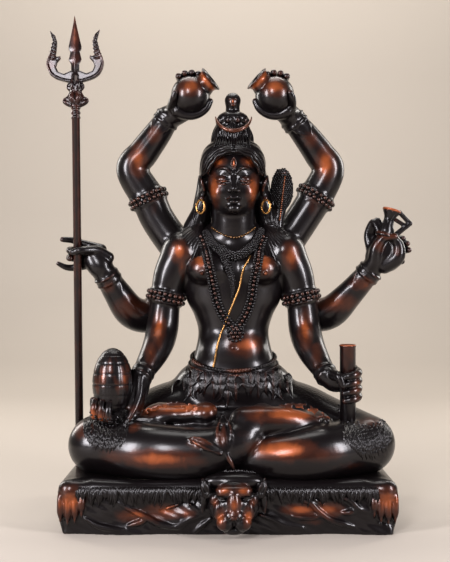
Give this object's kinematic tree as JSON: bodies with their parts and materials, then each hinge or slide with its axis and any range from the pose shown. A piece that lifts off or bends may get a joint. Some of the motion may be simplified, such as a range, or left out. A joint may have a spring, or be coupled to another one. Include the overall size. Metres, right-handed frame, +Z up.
{
  "type": "six-armed deity statue",
  "caption": "Seated six-armed deity statue on a plinth draped with a tiger skin, with a separate trident standing in one hand, all in dark antiqued cast brass.",
  "frame": {"origin": "centre of the plinth's underside", "axes": "+Z up, +Y from the figure's face to its back, +X to the right of someone who faces the figure"},
  "size_m": [0.4487, 0.2663, 0.6105],
  "materials": {
    "dark_bronze": "gloss black-brown lacquer over brass, rubbed back to copper on the high points",
    "red_bronze": "satin red-brown lacquer over brass",
    "gold_trim": "polished gold-coloured brass"
  },
  "bodies": {
    "root": {"figure": "dark_bronze", "plinth": "dark_bronze", "trident": "red_bronze"}
  },
  "joints": []
}
